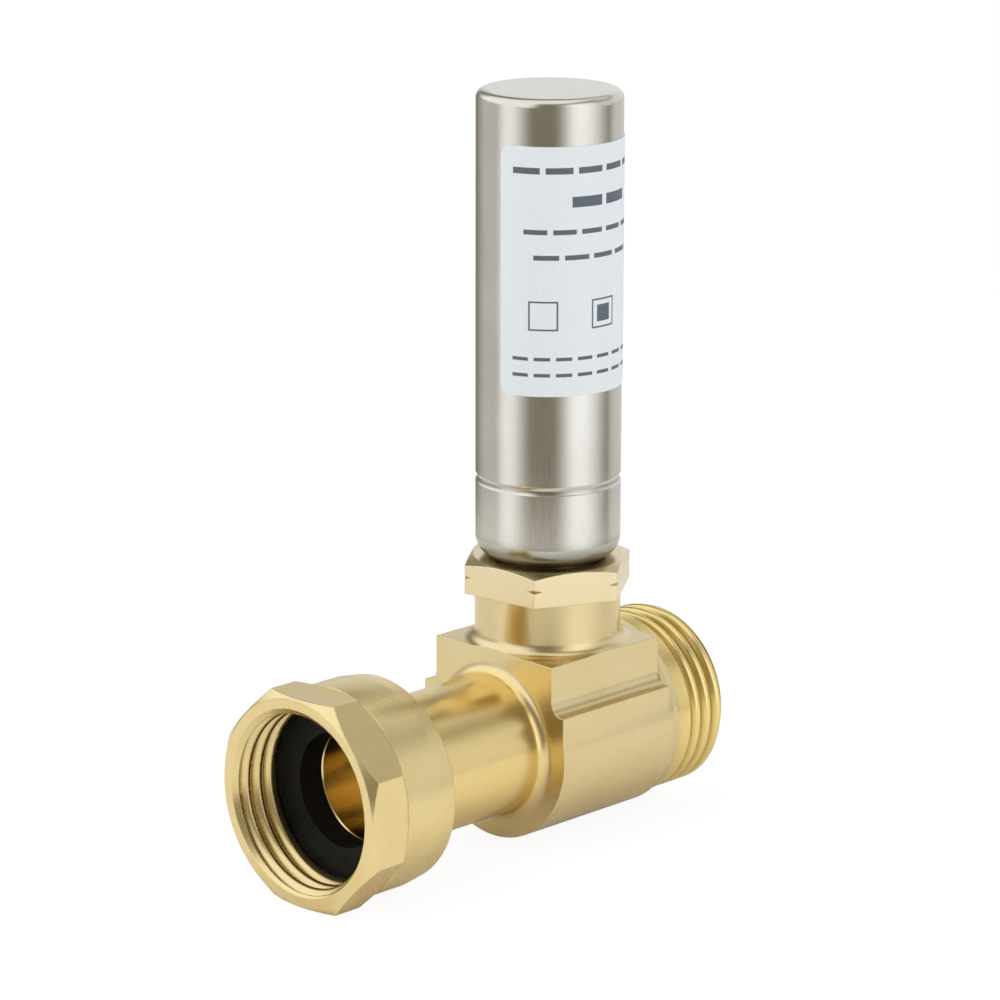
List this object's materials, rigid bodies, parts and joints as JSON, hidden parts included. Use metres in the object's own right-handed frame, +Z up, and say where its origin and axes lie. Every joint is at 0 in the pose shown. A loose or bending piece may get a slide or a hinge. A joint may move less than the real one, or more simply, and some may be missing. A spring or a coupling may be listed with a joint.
{
  "type": "water hammer arrestor",
  "caption": "Brass hose tee with a swivel inlet nut, a male hose outlet and a sealed steel air chamber on its branch that cushions pressure shocks.",
  "frame": {"origin": "inner end of the inlet nut's thread, on the run axis", "axes": "+X along the run, downstream from inlet nut to outlet; +Z up the air chamber; +Y completes a right-handed frame"},
  "size_m": [0.0735, 0.0304, 0.1084],
  "materials": {
    "brass_forging": "satin, tumbled forging",
    "brass_nut": "satin, turned and tumbled",
    "brass_plug": "satin, turned",
    "steel": "brushed lengthwise",
    "rubber": "matt black",
    "acetal": "natural acetal",
    "label": "satin film, bare"
  },
  "bodies": {
    "tee": {"tee_body": "brass_forging", "base_plug": "brass_plug", "base_ring": "rubber", "chamber": "steel", "label": "label"},
    "swivel": {"swivel_nut": "brass_nut", "hose_washer": "rubber"},
    "piston": {"piston": "acetal", "piston_ring_lower": "rubber", "piston_ring_upper": "rubber"}
  },
  "joints": [
    {"name": "nut_spin", "type": "hinge", "parent": "tee", "child": "swivel", "pos_m": [0, 0, 0], "axis": [1, 0, 0], "continuous": true},
    {"name": "piston_slide", "type": "slide", "parent": "tee", "child": "piston", "axis": [0, 0, 1], "range_m": [0, 0.028], "stiffness_N_per_m": 10, "springref_m": -0.003}
  ]
}
